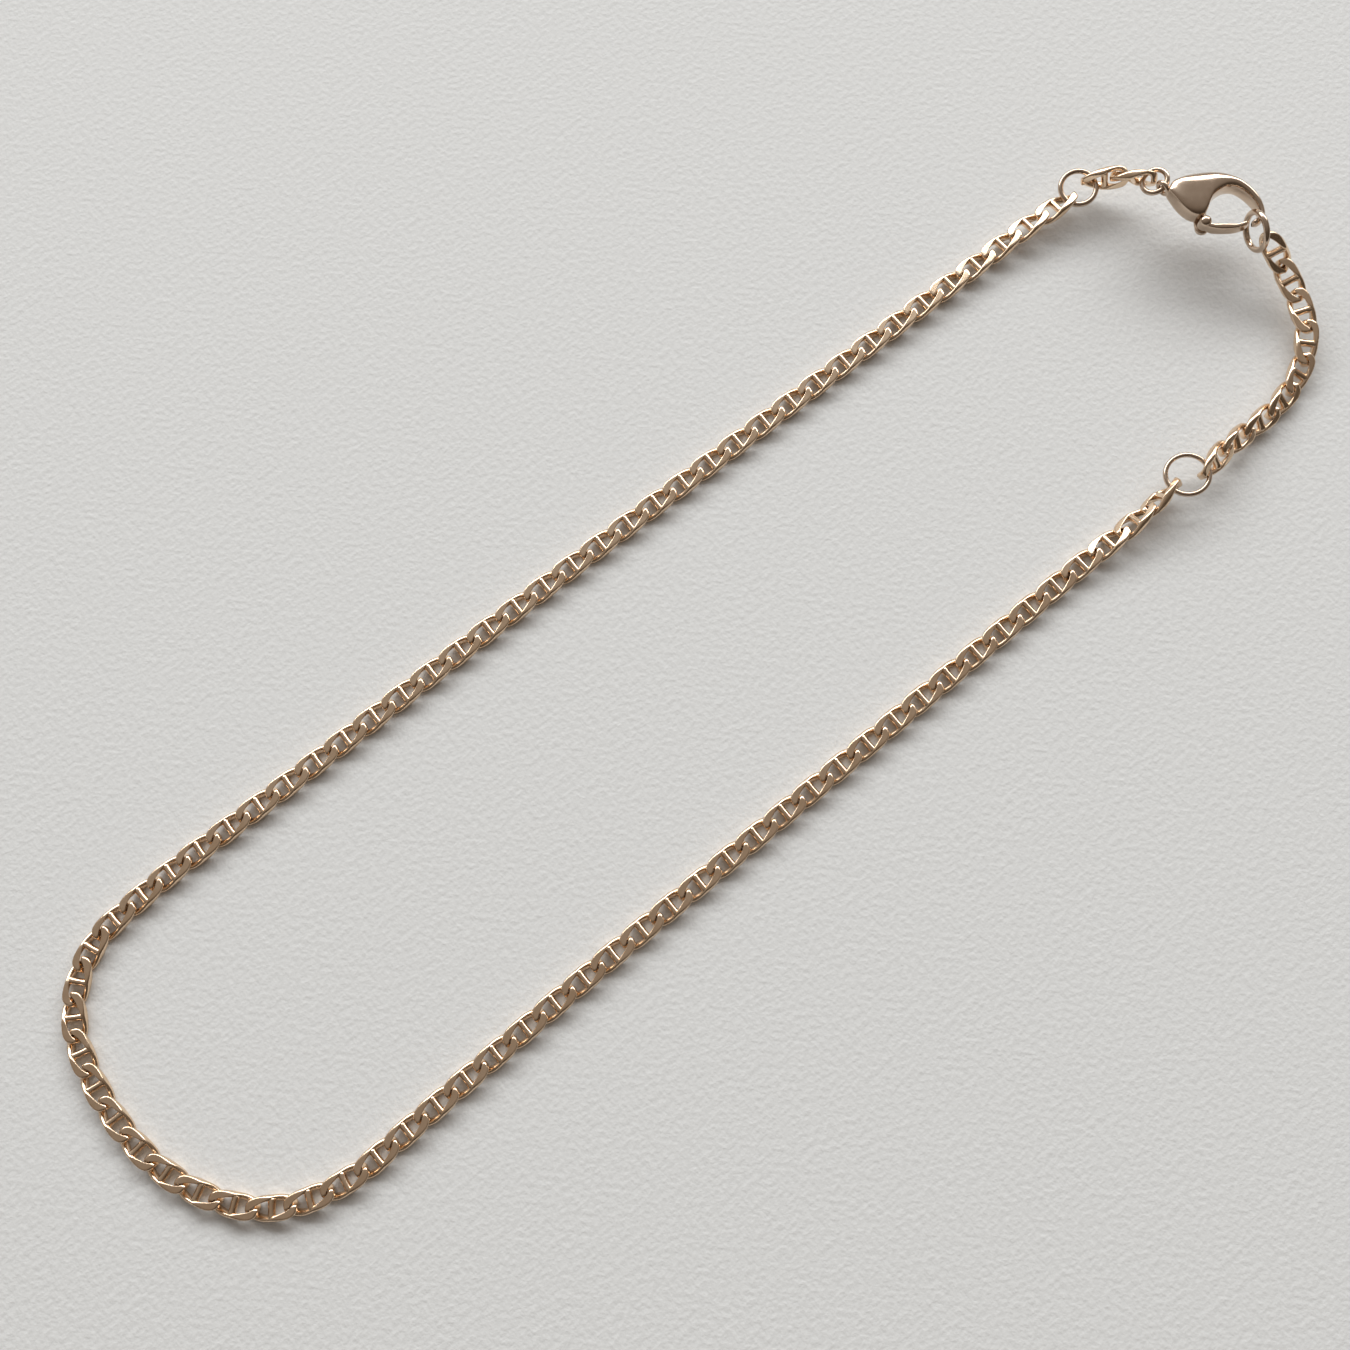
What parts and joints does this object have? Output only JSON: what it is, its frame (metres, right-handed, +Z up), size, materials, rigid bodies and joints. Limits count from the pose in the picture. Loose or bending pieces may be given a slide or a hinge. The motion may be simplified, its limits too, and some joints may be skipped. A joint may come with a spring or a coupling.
{
  "type": "chain anklet",
  "caption": "Fine gold-coloured chain anklet of flattened, twisted links with a bar across each, closed by a lobster clasp hooked to the end ring of a short extension chain.",
  "frame": {"origin": "middle of the bounding box, on the surface that the anklet lies on", "axes": "+X along the long narrow loop towards the clasp, +Z up from the surface"},
  "size_m": [0.109, 0.027, 0.0051],
  "materials": {
    "gold": "polished yellow gold"
  },
  "bodies": {
    "anklet": {"main_chain": "gold", "size_ring": "gold", "extension_chain": "gold", "end_ring": "gold", "join_ring": "gold", "lead_link_1": "gold", "lead_link_2": "gold", "clasp_ring": "gold", "clasp_body": "gold", "clasp_pin": "gold"},
    "lever": {"clasp_lever": "gold"}
  },
  "joints": [
    {"name": "lever_pivot", "type": "hinge", "parent": "anklet", "child": "lever", "pos_m": [0.04992, 0.00213, 0.0036], "axis": [0, 0, 1], "range_deg": [0, 28], "stiffness_Nm_per_rad": 0.002, "springref_deg": -17.19}
  ]
}
